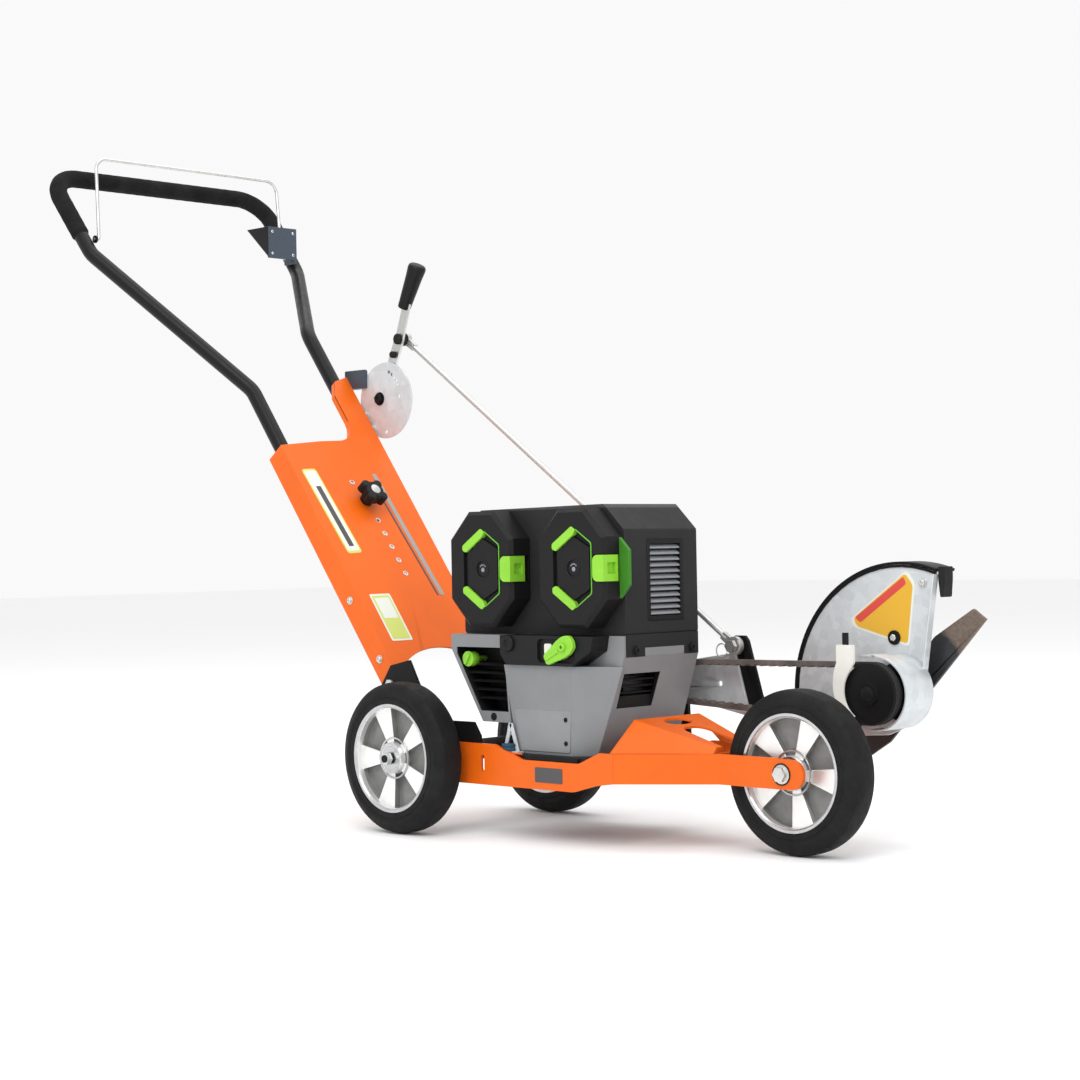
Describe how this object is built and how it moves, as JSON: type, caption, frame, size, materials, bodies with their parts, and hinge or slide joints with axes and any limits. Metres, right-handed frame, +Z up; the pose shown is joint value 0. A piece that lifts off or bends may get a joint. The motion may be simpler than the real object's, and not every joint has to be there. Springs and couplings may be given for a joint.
{
  "type": "walk-behind lawn edger",
  "caption": "Three-wheeled battery lawn edger with a loop handle, a folded console, a depth lever and a belt-driven blade under a guard.",
  "frame": {"origin": "on the ground, at the middle of the whole machine's outline seen from above", "axes": "+X forwards towards the front wheel, +Y to the machine's left where the blade is, +Z up"},
  "size_m": [1.4234, 0.4346, 0.9805],
  "materials": {
    "orange_paint": "gloss powder coat",
    "black_paint": "satin powder coat",
    "slate_paint": "satin paint",
    "foam": "soft foam",
    "tyre": "solid rubber",
    "alloy": "cast, machined rim edge",
    "steel": "machined",
    "galvanised": "galvanised",
    "zinc": "zinc plated",
    "charcoal": "fine texture",
    "grey_plastic": "fine texture",
    "black_plastic": "satin",
    "green_plastic": "gloss",
    "white_plastic": "satin",
    "blade_steel": "painted, ground edges",
    "belt": "cloth-faced rubber",
    "flap": "moulded rubber",
    "laminations": "laminated steel"
  },
  "bodies": {
    "chassis": {"frame_side_right": "orange_paint", "frame_side_left": "orange_paint", "front_gusset": "orange_paint", "engine_deck": "black_paint", "rear_axle": "black_paint", "front_axle": "zinc", "wheel_bearings": "steel", "console_supports": "black_paint", "console": "orange_paint", "lever_quadrant": "galvanised", "lever_block": "slate_paint", "fasteners": "zinc", "swing_bracket": "black_paint", "upper_housing": "charcoal", "lower_housing": "grey_plastic", "louvre_grille": "grey_plastic", "control_panel": "black_plastic", "motor_stator": "laminations", "motor_bearings": "steel"},
    "handle": {"handle_tube": "black_paint", "handle_grip": "foam", "switch_box": "slate_paint", "bail_tab": "black_paint"},
    "bail": {"operator_bail": "zinc"},
    "knob": {"clamp_knob": "black_plastic"},
    "lever": {"depth_lever": "zinc", "lever_grip": "black_plastic", "lever_ball": "black_plastic"},
    "rod": {"link_rod": "zinc"},
    "head": {"swing_plate": "galvanised", "swing_arm": "black_paint", "crank_pin": "zinc", "arbor_housing": "black_paint", "arbor_bearings": "steel", "drive_belt": "belt", "guard_plate": "galvanised", "guard_band": "black_paint", "guard_flap": "flap", "pulley_shroud": "galvanised", "belt_keeper": "white_plastic"},
    "arbor": {"arbor_shaft": "steel", "arbor_pulley": "black_paint", "blade": "blade_steel", "blade_nut": "zinc"},
    "motor": {"motor_rotor": "steel", "drive_pulley": "steel"},
    "wheel_rr": {"tyre_rear_right": "tyre", "rim_rear_right": "alloy"},
    "wheel_rl": {"tyre_rear_left": "tyre", "rim_rear_left": "alloy"},
    "wheel_f": {"tyre_front": "tyre", "rim_front": "alloy"},
    "pack_1": {"battery_1": "black_plastic"},
    "pack_2": {"battery_2": "black_plastic"},
    "button_1": {"battery_button_1": "black_plastic"},
    "button_2": {"battery_button_2": "black_plastic"},
    "latch_1": {"battery_latch_1": "green_plastic"},
    "latch_2": {"battery_latch_2": "green_plastic"},
    "switch": {"power_switch": "green_plastic"},
    "mode": {"mode_knob": "green_plastic"}
  },
  "joints": [
    {"name": "wheel_rear_right_spin", "type": "hinge", "parent": "chassis", "child": "wheel_rr", "pos_m": [0.01975, -0.144, 0.1], "axis": [0, 1, 0], "continuous": true},
    {"name": "wheel_rear_left_spin", "type": "hinge", "parent": "chassis", "child": "wheel_rl", "pos_m": [0.01975, 0.144, 0.1], "axis": [0, 1, 0], "continuous": true},
    {"name": "wheel_front_spin", "type": "hinge", "parent": "chassis", "child": "wheel_f", "pos_m": [0.57175, 0, 0.1], "axis": [0, 1, 0], "continuous": true},
    {"name": "handle_slide", "type": "slide", "parent": "chassis", "child": "handle", "axis": [-0.5971, 0, 0.8022], "range_m": [-0.09, 0.024]},
    {"name": "clamp_knob_turn", "type": "hinge", "parent": "chassis", "child": "knob", "pos_m": [-0.21835, 0.008, 0.4466], "axis": [0.8022, 0, 0.5971], "continuous": true},
    {"name": "bail_squeeze", "type": "hinge", "parent": "handle", "child": "bail", "pos_m": [-0.59825, 0, 0.851], "axis": [0, 1, 0], "range_deg": [-32, 0], "stiffness_Nm_per_rad": 0.5, "springref_deg": 28.65},
    {"name": "head_swing", "type": "hinge", "parent": "chassis", "child": "head", "pos_m": [0.25975, 0.108, 0.196], "axis": [0, 1, 0], "range_deg": [0, 15]},
    {"name": "lever_swing", "type": "hinge", "parent": "chassis", "child": "lever", "pos_m": [-0.29025, 0.108, 0.602], "axis": [0, 1, 0], "range_deg": [0, 15.4]},
    {"name": "rod_pivot", "type": "hinge", "parent": "lever", "child": "rod", "pos_m": [-0.25025, 0.121, 0.689], "axis": [0, 1, 0], "range_deg": [-13.8, 0]},
    {"name": "motor_spin", "type": "hinge", "parent": "chassis", "child": "motor", "pos_m": [0.25975, 0, 0.196], "axis": [0, 1, 0], "continuous": true},
    {"name": "arbor_spin", "type": "hinge", "parent": "head", "child": "arbor", "pos_m": [0.60175, 0.108, 0.188], "axis": [0, 1, 0], "continuous": true},
    {"name": "power_switch_turn", "type": "hinge", "parent": "chassis", "child": "switch", "pos_m": [0.27175, -0.1, 0.244], "axis": [0, -1, 0], "range_deg": [0, 90]},
    {"name": "mode_knob_turn", "type": "hinge", "parent": "chassis", "child": "mode", "pos_m": [0.08875, -0.08, 0.229], "axis": [0, -1, 0], "range_deg": [0, 90]},
    {"name": "battery_1_slide", "type": "slide", "parent": "chassis", "child": "pack_1", "axis": [0, -1, 0], "range_m": [0, 0.14]},
    {"name": "battery_1_button_press", "type": "slide", "parent": "pack_1", "child": "button_1", "axis": [0, 1, 0], "range_m": [0, 0.0015], "stiffness_N_per_m": 300, "springref_m": -0.002},
    {"name": "battery_1_latch_press", "type": "slide", "parent": "pack_1", "child": "latch_1", "axis": [0, 1, 0], "range_m": [0, 0.003], "stiffness_N_per_m": 300, "springref_m": -0.003},
    {"name": "battery_2_slide", "type": "slide", "parent": "chassis", "child": "pack_2", "axis": [0, -1, 0], "range_m": [0, 0.14]},
    {"name": "battery_2_button_press", "type": "slide", "parent": "pack_2", "child": "button_2", "axis": [0, 1, 0], "range_m": [0, 0.0015], "stiffness_N_per_m": 300, "springref_m": -0.002},
    {"name": "battery_2_latch_press", "type": "slide", "parent": "pack_2", "child": "latch_2", "axis": [0, 1, 0], "range_m": [0, 0.003], "stiffness_N_per_m": 300, "springref_m": -0.003}
  ],
  "couplings": [
    {"joint": "lever_swing", "follows": "head_swing", "ratio": 1.02},
    {"joint": "rod_pivot", "follows": "head_swing", "ratio": -0.909},
    {"joint": "arbor_spin", "follows": "motor_spin", "ratio": 0.64856}
  ]
}
